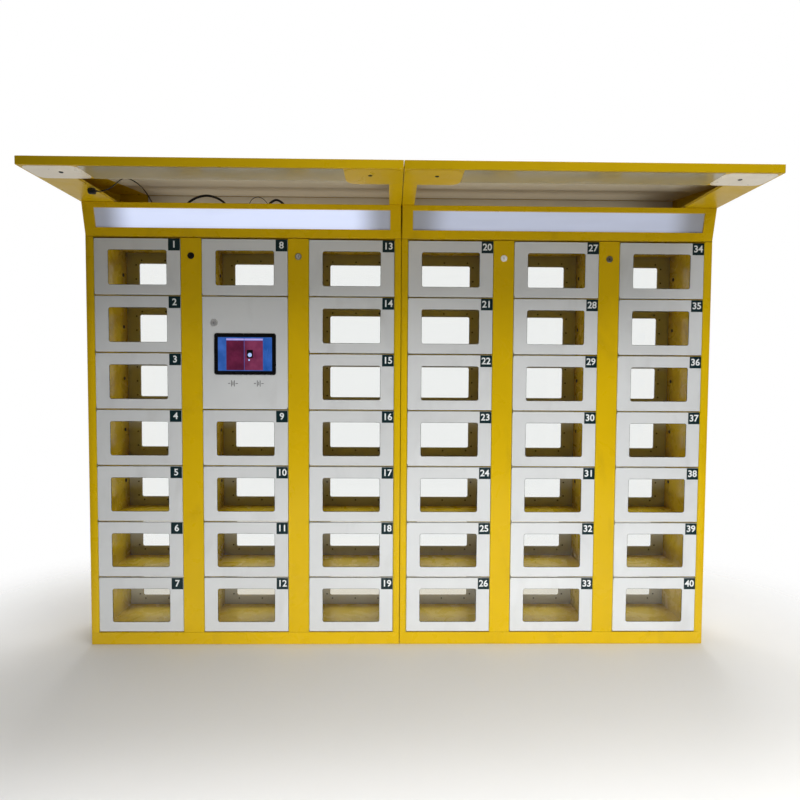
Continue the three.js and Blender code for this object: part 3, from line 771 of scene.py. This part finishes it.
def light_box(side):
    x0, x1 = MODULES[side]
    a, b = x0 + SHEET + GAP, x1 - SHEET - GAP
    face = (a, 0, b, LIGHT_RISE)
    opening = (a + LAMP_SIDE, LAMP_LOW, b - LAMP_SIDE, LAMP_HIGH)
    steps = [(opening, 8, 0), (opening, 0.6, 0), (opening, 0, 0.5), (face, 0, -0.9), (face, 0.9, 0)]
    inner = [(face, 1.3, -1.2), (opening, 1.3, 1.2), (opening, 8, 1.2)]
    back = [lean(deepen(outline("xz", face, 0, 1, 3, grow))) for grow in (0, -1.2)]
    made = Shape().loft([*on_face(steps), *back, *on_face(inner)], ring=True)
    piece(f"light_box_face_{side}", made, YELLOW, slot="yellow_paint", replaces=[f"light_box_{side}"])
    half = (opening[2] - opening[0]) / 2
    middle = (opening[0] + opening[2]) / 2
    panel = grown((-half, LAMP_LOW, half, LAMP_HIGH), 6)
    steps = [(panel, 8.4, -0.4), (panel, 8.8, 0), (panel, 11, 0), (panel, 11.4, -0.4)]
    opal = Shape().loft(on_face(steps, 2))
    glow = lit_sheet(f"lit_opal_{side}", LAMP_COLOUR, LAMP_LEVEL[side], half * MM, LAMP_FADE)
    at, stands_for = (middle, 0, 0), [f"lamp_diffuser_{side}"]
    piece(f"diffuser_{side}", opal, glow, at=at, slot="lamp_opal", replaces=stands_for)
    bar, clips = Shape(), Shape()
    y, z = DOOR_Y + 24, LIGHT_BOTTOM + 66
    tube = [(6, -half + 30), (12, -half + 32), (13, -half + 38), (13, -half + 66), (12, -half + 68)]
    bar.turned((middle, y, z), tube + flipped(reversed(tube), -1), "x", 20)
    for share in (-0.8, -0.27, 0.27, 0.8):
        at = middle + share * half
        clips.block((at - 9, y - 15, z - 17), (at + 9, y + 15, z - 12.6), 0.8)
        for near, far in ((-17, -13.4), (13.4, 17)):
            clips.block((at - 9, y + near, z - 17), (at + 9, y + far, z + 6), 0.8)
    piece(f"lamp_bar_{side}", bar, INK)
    piece(f"lamp_clips_{side}", clips, ZINC)
    screws = Shape()
    head = [(3.4, 0), (3.4, -0.6), (2.4, -1.3), (0.4, -1.4)]
    for k in range(5):
        at = a + 18 + k * (b - a - 36) / 4
        screws.turned((at, LIGHT_FOOT + 9, LIGHT_BOTTOM - 0.1), head, "z", 12)
    piece(f"light_box_screws_{side}", screws, DARK_STEEL)


# ---- canopies ----
FASCIA, RISE = 28, 100
CANOPY_FRONT, CANOPY_OUTER, CANOPY_SEAM, CANOPY_REAR = 128, 128, 48, 15
LINING_END = {"left": 125, "right": 22}  # bare paint from the outer end of a canopy to its lining


def roof(y):
    return CANOPY_Z + FASCIA + RISE * (y - FRONT_Y) / (REAR_Y - FRONT_Y)


def under_roof(points, drop):
    return [(x, y, roof(y) - drop) for x, y, _ in points]


def canopy(side):
    x0, x1 = MODULES[side]
    outer_left = side == "left"
    plan = (x0, FRONT_Y, x1, REAR_Y)
    left, right = (CANOPY_OUTER, CANOPY_SEAM) if outer_left else (CANOPY_SEAM, CANOPY_OUTER)
    hole = (x0 + left, FRONT_Y + CANOPY_FRONT, x1 - right, REAR_Y - CANOPY_REAR)
    rim = [(plan, 1.2, 1.5, 0), (plan, 0, 1.5, -1.2), (hole, 0, 1, 0.4), (hole, 0.4, 1, 0)]
    rim += [(hole, 10, 1, 0), (hole, 10, 1, 1.2), (hole, 1.3, 1, 1.2), (plan, 1.3, 1, -1.3)]
    skin = [under_roof(outline("xy", plan, 0, 1.5, 3, grow), drop) for grow, drop in ((-1.2, 0), (0, 1.2))]
    skin += [outline("xy", r, CANOPY_Z + z, radius, 3, grow) for r, z, radius, grow in rim]
    skin.append(under_roof(outline("xy", plan, 0, 1, 3, -1.3), 2.6))
    made = Shape().loft(skin)
    piece(f"canopy_skin_{side}", made, YELLOW_PANEL, slot="yellow_paint", replaces=[f"canopy_{side}"])
    bare = LINING_END[side]
    ends = (x0 + bare, x1 - 6) if outer_left else (x0 + 6, x1 - bare)
    rect = (ends[0], FRONT_Y + 8, ends[1], REAR_Y - 8)
    steps = ((2.9, -0.3), (3.1, 0), (3.9, 0), (4.2, -0.3))
    lining = Shape().loft([under_roof(outline("xy", rect, 0, 2, 3, grow), drop) for drop, grow in steps])
    rear = (ends[0], CANOPY_Z + 2, ends[1], roof(REAR_Y) - 6)
    lining.sheet(rear, REAR_Y - 4.5, REAR_Y - 3.2, 2)
    piece(f"canopy_lining_{side}", lining, LINING)


def soffit(side):
    """What shows under the front rim: a glossy sheet between two corner plates with a hole each. The
    sheet's tan tone and the outer plate's near white are painted reflection of the bright surroundings on
    the glossy yellow underside.
    """
    x0, x1 = MODULES[side]
    out = 1 if side == "left" else -1
    start, end = (x0, x1) if side == "left" else (x1, x0)
    near, far = FRONT_Y + 7, FRONT_Y + CANOPY_FRONT - 1
    outer, inner = start + out * 190, end - out * 195

    def plate(name, a, b, depth, radius, finish, reach=0):
        rect = (min(a, b), near, max(a, b), far + reach)
        made = Shape().sheet(rect, CANOPY_Z - depth, CANOPY_Z - 0.1, radius, plane="xy")
        piece(f"{name}_{side}", made, finish)

    # the glossy sheet's tan tone is partly painted reflection
    plate("soffit", outer, inner, 1, 2, SOFFIT_PAINTED_REFLECTION)
    # the outer corner plate is painted near white, a painted reflection
    plate("outer_patch", start + out * 7, outer - out, 1, 26, PALE_PAINTED_REFLECTION)
    plate("seam_patch", inner + out, end - out * 3, 1.2, 34, YELLOW_PANEL, 26)
    holes = Shape()
    ring = [(7, -0.2), (7, -1.9), (6.2, -2.3), (4.6, -2.2), (4.2, -1.3), (0.6, -1.2)]
    for x in (start + out * 110, end - out * 110):
        holes.turned((x, FRONT_Y + 66, CANOPY_Z), ring, "z", 18)
    piece(f"patch_holes_{side}", holes, DARK_STEEL)


def seam_gasket():
    """Foam strips that close the gap between the two modules."""
    near, far = FRONT_Y + 160, REAR_Y - 20
    strips = Shape().block((-0.8, DOOR_Y + 40, 4), (0.8, far, SHELL_TOP - 3), 0.2)
    strips.block((-0.8, near, CANOPY_Z + 4), (0.8, far, roof(near) - 6), 0.2)
    piece("seam_gasket", strips, RUBBER)


# ---- doors ----
LABEL_SIDE = 46.5
LABEL_INSET = 0.6
FIGURE_SIZE, FIGURE_WEIGHT, FIGURE_HEIGHT = 0.037, 0.0008, 0.00012  # metres


def label_mesh(number):
    """A square number plate with raised figures, in a door's own frame."""
    width, height = DOOR_SIZE
    far = (width - LABEL_INSET, height - LABEL_INSET)
    plate = (width - LABEL_SIDE, height - LABEL_SIDE, *far)
    shape = Shape().sheet(plate, -0.3, 0, 1.5)
    text = bpy.data.curves.new(f"figures_{number}", "FONT")
    text.body = str(number)
    text.size = FIGURE_SIZE
    text.offset = FIGURE_WEIGHT
    text.extrude = FIGURE_HEIGHT
    text.resolution_u = 4
    text.align_x = text.align_y = "CENTER"
    holder = bpy.data.objects.new("figures", text)
    bpy.context.scene.collection.objects.link(holder)
    graph = bpy.context.evaluated_depsgraph_get()
    figures = bpy.data.meshes.new_from_object(holder.evaluated_get(graph))
    bpy.data.objects.remove(holder)
    start = len(shape.points)
    centre = ((plate[0] + plate[2]) / 2, (plate[1] + plate[3]) / 2)
    for v in figures.vertices:
        shape.points.append((centre[0] + v.co.x / MM, -0.42 - v.co.z / MM, centre[1] + v.co.y / MM))
    for face in figures.polygons:
        shape.face(tuple(start + k for k in face.vertices), 1)
    bpy.data.meshes.remove(figures)
    return mesh_of(f"label_{number:02d}", shape, [LABEL, INK])


def fittings(size, window=None):
    """What is screwed to the back of a door: pane retainer, striker and hinge pivots."""
    width, height = size
    made = Shape()
    if window:
        made.ring(window, 2, 12, 4.1, 5.3)
        for share in (0.08, 0.5, 0.92):
            for b in (window[1] - 7, window[3] + 7):
                at = (window[0] + share * (window[2] - window[0]), 5.3, b)
                made.turned(at, [(3.2, 0), (3.2, 1.6), (2.6, 2.6), (0.6, 3.1)], "y", 6)
    middle = height / 2
    made.block((width - 26, 1.1, middle - 17), (width - 2, 2.6, middle + 17))
    for z in (middle - 4, middle + 1.6):
        made.block((width - 15, 2, z), (width - 7, 30, z + 2.4), 0.7)
    made.block((width - 15, 27, middle - 4), (width - 7, 30, middle + 4), 0.8)
    for low_end, high_end in ((-1.8, 6), (height - 6, height + 1.8)):
        pin = [(1.2, low_end), (1.6, low_end + 0.4), (1.6, high_end - 0.4), (1.2, high_end)]
        made.turned((0.4, 0.4, 0), pin, "z", 12)
        plate = (low_end + 3, high_end - 1) if low_end < 0 else (low_end + 1, high_end - 3)
        made.block((1.1, 1.1, plate[0]), (22, 9, plate[1]), 0.4)
    return made


def doors():
    leaf = mesh_of("door_leaf", Shape().tray(DOOR_SIZE, DOOR_DEPTH, WINDOW, WINDOW_RADIUS), WHITE)
    parts = {"seal": mesh_of("door_seal", Shape().ring(WINDOW, -1.3, 8, 0.9, 2.1), RUBBER)}
    parts["pane"] = mesh_of("door_pane", Shape().sheet(grown(WINDOW, PANE_LAP), 2.1, 4.1, 3), CLEAR)
    parts["fittings"] = mesh_of("door_fittings", fittings(DOOR_SIZE, WINDOW), ZINC)
    for number in range(1, DOORS + 1):
        name = f"door_{number:02d}"
        at = low(name)
        show(f"{name}_leaf", leaf, name, at, "white_paint", [name])
        for part, mesh in parts.items():
            show(f"{name}_{part}", mesh, name, at)
        show(f"{name}_label", label_mesh(number), name, at)


# ---- service door ----
SCREEN = (244, 164)
SCREEN_TOP = 144  # from the top of the service door
BEZEL_LAP = 9.7  # how far the screen reaches past its cut-out
DISPLAY_MARGIN = 15.5
SPEAKERS = (119, 221)
SPEAKER_Z = 102
SPEAKER_SLOTS = (  # place from the middle of a speaker, then size
    (-15, 0, 10, 2.2), (15, 0, 10, 2.2), (-5.5, 0, 2.4, 25), (5.5, 0, 2.4, 25), (0, 0, 2.4, 15),
)
PAGES = {  # two tones that mix, and the strength of the glow
    "page_blue": ((0.045, 0.14, 0.5), (0.02, 0.09, 0.36), 0.9),
    "card_maroon": ((0.15, 0.01, 0.05), (0.09, 0.003, 0.03), 0.8),
    "card_rose": ((0.24, 0.035, 0.10), (0.15, 0.015, 0.06), 0.8),
    "side_navy": ((0.02, 0.10, 0.40), (0.006, 0.05, 0.22), 0.9),
    "strip_lilac": ((0.5, 0.42, 0.85), (0.42, 0.34, 0.78), 0.9),
    "dot_pale": ((0.5, 0.65, 1.0), (0.4, 0.55, 0.95), 1.0),
}


def service_door():
    name = "service_door"
    on_door = {"body": name, "at": low(name)}
    width, height = SERVICE_SIZE
    x0, z1 = (width - SCREEN[0]) / 2, height - SCREEN_TOP
    bezel = (x0, z1 - SCREEN[1], x0 + SCREEN[0], z1)
    cut_out = grown(bezel, -BEZEL_LAP)
    leaf = Shape().tray(SERVICE_SIZE, DOOR_DEPTH, cut_out, 1)
    piece("service_door_leaf", leaf, WHITE, slot="white_paint", replaces=[name], **on_door)
    behind = fittings(SERVICE_SIZE)
    behind.points = [(width - x, y, z) for x, y, z in behind.points]  # this door hangs on its right edge
    piece("service_door_fittings", behind, ZINC, **on_door)
    touchscreen(bezel, cut_out, on_door)
    display(bezel, on_door)
    speakers(on_door)


def touchscreen(bezel, cut_out, on_door):
    """The glass with its rounded rim, the housing behind it and four screws."""
    steps = [(-0.3, -0.6, 9), (-1.5, 0, 9), (-2.6, -0.4, 9), (-3.2, -1.4, 8.5)]
    front = Shape().loft([outline("xz", bezel, y, radius, 4, grow) for y, grow, radius in steps])
    steps = ((-1, 0), (22, 0), (23.4, -1.4))
    front.loft([outline("xz", grown(cut_out, -0.4), y, 2, 4, grow) for y, grow in steps])
    for k in range(5):
        slot_x = cut_out[0] + 30 + k * 34
        front.block((slot_x, 23.2, cut_out[1] + 34), (slot_x + 22, 24.4, cut_out[1] + 108))
    looks = {"slot": "screen_black", "replaces": ["touchscreen"]}
    piece("touchscreen_body", front, SCREEN_BLACK, **looks, **on_door)
    screws = Shape()
    head = [(3.4, 0), (3.4, -0.3), (2.8, -0.7), (1.5, -0.7), (1.3, -0.2), (0.3, -0.2)]
    for a in (bezel[0] + 8, bezel[2] - 8):
        for b in (bezel[1] + 8, bezel[3] - 8):
            screws.turned((a, -3.1, b), head, "y", 16)
    piece("touchscreen_screws", screws, DARK_STEEL, **on_door)


def display(bezel, on_door):
    """A plain page with two cards and a button, in thin sheets over the glass."""
    page = grown(bezel, -DISPLAY_MARGIN)
    blue, maroon, rose, navy, lilac, pale = (screen_page(name, *look) for name, look in PAGES.items())
    piece("display_page", Shape().sheet(page, -3.3, -3.15, 1), blue, **on_door)
    cards, strips = Shape(), Shape()
    middle = (page[0] + page[2]) / 2 - 3
    card_z = (page[1] + 3, page[3] - 5)
    for mark, (a, b) in enumerate(((page[0] + 33, middle - 0.8), (middle + 0.8, page[2] - 36))):
        cards.sheet((a, card_z[0], b, card_z[1] - 8), -3.4, -3.25, 1.5, mark)
        strips.sheet((a, card_z[1] - 7, b, card_z[1]), -3.4, -3.25, 1.5)
    side = (page[2] - 33, page[1] + 1, page[2] - 1, page[3] - 1)
    cards.sheet(side, -3.3, -3.2, 1, mark=2)
    piece("display_cards", cards, [maroon, rose, navy], **on_door)
    piece("display_strips", strips, lilac, **on_door)
    x, z = middle + 22, (card_z[0] + card_z[1]) / 2 - 2
    icon = Shape().sheet((x - 12, z - 12, x + 12, z + 20), -3.5, -3.35, 3)
    piece("display_icon", icon, SCREEN_BLACK, **on_door)
    dots = Shape().turned((x, -3.5, z), [(8, 0), (8, -0.08), (0.5, -0.1)], "y", 28)
    dots.turned((x - 3, -3.4, z - 20), [(3.4, 0), (3.4, -0.08), (0.4, -0.1)], "y", 16)
    piece("display_dots", dots, pale, **on_door)


def speakers(on_door):
    holes, cones = Shape(), Shape()
    cone = [(19, 1.2), (20, 2), (20, 6), (16, 12), (9, 14), (9, 18), (8, 19)]
    for x in SPEAKERS:
        for a, b, wide, tall in SPEAKER_SLOTS:
            left, bottom = x + a - wide / 2, SPEAKER_Z + b - tall / 2
            rect = (left, bottom, x + a + wide / 2, SPEAKER_Z + b + tall / 2)
            holes.sheet(rect, -0.15, 0.4, 1.4)
        cones.turned((x, 0, SPEAKER_Z), cone, "y", 28)
    piece("speaker_holes", holes, BLACK, **on_door)
    piece("speakers", cones, BLACK, **on_door)


# ---- locks ----
LOCK_HEAD, SERVICE_LOCK_HEAD = 26, 30
LOCK_COLUMNS = (0, 1, 3, 4)
# The four column locks are alike, but each is given the tone its chrome head shows: black for the first,
# steel with a zinc rim for the second, plain white for the third and zinc for the fourth. These are
# painted reflections, painted shade and painted highlight, not four different finishes.
LOCK_PAINTED_REFLECTIONS = ((DARK_STEEL, DARK_STEEL), (STEEL, ZINC), (LOCK_PAINTED_GLARE, LOCK_PAINTED_GLARE), (ZINC, ZINC))
SERVICE_LOCK = (46, 104)  # from the left edge and down from the top of the service door


def lock(name, centre, head, material, rim_material):
    """Cam lock: ringed head with a keyway, threaded barrel, nut and cam. centre is its axis."""
    made = Shape()
    rim = head / 2
    face = [(rim - 0.4, -GAP), (rim, -0.9), (rim, -1.8), (rim - 1.4, -3.1), (rim - 3, -3.3)]
    made.turned((0, 0, 0), [*face, (rim - 3.6, -2.4), (0.5, -2.4)], "y", 36, 1)
    made.turned((0, 0, 0), [(rim - 4.4, -2), (rim - 4.4, -2.7), (rim - 5, -3), (0.5, -3)], "y", 30)
    threads = [(9.5, -1)]
    for k in range(10):
        threads += [(9.4, 0.6 + 2 * k), (8.7, 1.6 + 2 * k)]
    made.turned((0, 0, 0), [*threads, (9.2, 21), (7, 22)], "y", 24)
    made.turned((0, 0, 0), [(10, 3.4), (13, 3.6), (13, 7.6), (10, 7.8)], "y", 6)
    made.turned((0, 0, 0), [(5, 23.9), (5, 26), (4, 27), (0.6, 27)], "y", 6)
    made.sheet((-30, -6.5, 6.5, 6.5), 22, 24, 4)
    at = (centre[0], DOOR_Y, centre[1])
    looks = {"slot": "lock_steel", "replaces": [name]}
    piece(f"{name}_cylinder", made, [material, rim_material], body=name, at=at, **looks)
    # the keyway is a thin black plate on the face: painted shade for the dark slot
    key = Shape().sheet((-1.1, -4.4, 1.1, 4.4), -3.2, -2.8, 0.9)
    piece(f"{name}_keyway", key, BLACK, body=name, at=at)


def locks():
    # each column lock takes its own painted reflection from the table
    for number, (column, finish) in enumerate(zip(LOCK_COLUMNS, LOCK_PAINTED_REFLECTIONS), 1):
        centre = (CELLS[column] + CELL_WIDTH + STILE_WIDTH / 2, shelf_z(0) - LOCK_DROP)
        lock(f"column_lock_{number}", centre, LOCK_HEAD, *finish)
    corner = low("service_door")
    centre = (corner[0] + SERVICE_LOCK[0], corner[2] + SERVICE_SIZE[1] - SERVICE_LOCK[1])
    # the service lock takes this part-metal steel, whose brightness is a painted sheen
    lock("service_lock", centre, SERVICE_LOCK_HEAD, STEEL, STEEL)


for module_side in MODULES:
    shell(module_side)
    rear_panel(module_side)
    light_box(module_side)
    canopy(module_side)
    soffit(module_side)
for cell_column in range(len(CELLS)):
    rack(cell_column)
    door_stops(cell_column)
    if cell_column not in END_COLUMNS:
        stile(cell_column)
seam_gasket()
doors()
service_door()
locks()


# ---- floor, world and lights ----
FLOOR_REACH = 4
FOOTPRINT = (1.24, 0.36, 0)
FLOOR_FADE = (0.1, 1.1)  # metres from the footprint
FILL_FRONT, FILL_BACK = 0.06, 0.6
LIGHTS = (  # place, aim, size and watts
    ("low_front", (0.42, -1.4, 0.18), (0.35, 0, 0.35), (3.2, 0.4), 28),
    ("high_front", (1.5, -1.5, 3.3), (1.1, 0, 0.6), (4.0, 0.8), 50),
    ("lamp_leak", (0, 0.27, 1.765), (0, 0.27, 3.0), (2.1, 0.12), 0.36),
    ("behind", (0.4, 4.2, 3.4), (0.2, 0.35, 0.8), (5.0, 2.5), 165),
    ("overhead", (0, 0.4, 4.2), (0, 0.2, 0), (5.0, 2.0), 12),
)


def stage():
    """A pale floor that fades out around the kiosk, into the white backdrop."""
    floor = bpy.data.meshes.new("floor")
    corners = [(x * FLOOR_REACH, y * FLOOR_REACH, 0) for x, y in ((-1, -1), (1, -1), (1, 1), (-1, 1))]
    floor.from_pydata(corners, [], [(0, 1, 2, 3)])
    nodes = Nodes("floor", (0.9, 0.9, 0.89), 0.8)
    place = nodes.add("TexCoord").outputs["Object"]
    side = nodes.add("VectorMath", [place], operation="ABSOLUTE").outputs[0]
    beyond = nodes.add("VectorMath", (side, FOOTPRINT), operation="SUBTRACT").outputs[0]
    outside = nodes.add("VectorMath", [beyond], operation="MAXIMUM").outputs[0]
    away = nodes.add("VectorMath", [outside], operation="LENGTH").outputs["Value"]
    fade = nodes.span(away, *FLOOR_FADE, 1, 0, interpolation="SMOOTHSTEP")
    tone = nodes.mix(nodes.noise(1.5, 3), (0.88, 0.88, 0.87), (0.92, 0.92, 0.91))
    floor.materials.append(nodes.finish(Base_Color=tone, Alpha=fade))
    made = bpy.data.objects.new("floor", floor)
    made.location.z = -0.0005
    bpy.context.scene.collection.objects.link(made)


def world():
    """White where the camera looks; as light, dim in front of the doors and bright behind them."""
    sky = bpy.data.worlds.new("studio")
    bpy.context.scene.world = sky
    sky.use_nodes = True
    tree = Tree(sky.node_tree)
    own = sky.node_tree.nodes
    seen = tree.fill(own["Background"], {"Color": (1, 1, 1)})
    split = tree.add("SeparateXYZ", [tree.add("TexCoord").outputs["Generated"]])
    limits = (-0.25, 0.45, FILL_FRONT, FILL_BACK)
    level = tree.span(split.outputs["Y"], *limits, interpolation="SMOOTHSTEP")
    fill = tree.add("Background", {"Color": (1, 0.99, 0.97), "Strength": level})
    direct = tree.add("LightPath").outputs["Is Camera Ray"]
    mix = tree.add("MixShader", (direct, fill.outputs[0], seen.outputs[0]))
    tree.fill(own["World Output"], {"Surface": mix.outputs[0]})


def soft_light(name, at, aim, size, power):
    """A rectangular lamp that neither the camera nor a gloss shows."""
    lamp = bpy.data.lights.new(name, "AREA")
    lamp.shape = "RECTANGLE"
    lamp.size, lamp.size_y = size
    lamp.energy = power
    made = bpy.data.objects.new(name, lamp)
    made.location = at
    made.rotation_euler = (Vector(aim) - Vector(at)).to_track_quat("-Z", "Y").to_euler()
    made.visible_glossy = False
    made.visible_camera = False
    bpy.context.scene.collection.objects.link(made)


stage()
world()
for light in LIGHTS:
    soft_light(*light)
bpy.context.scene.view_settings.view_transform = "Standard"
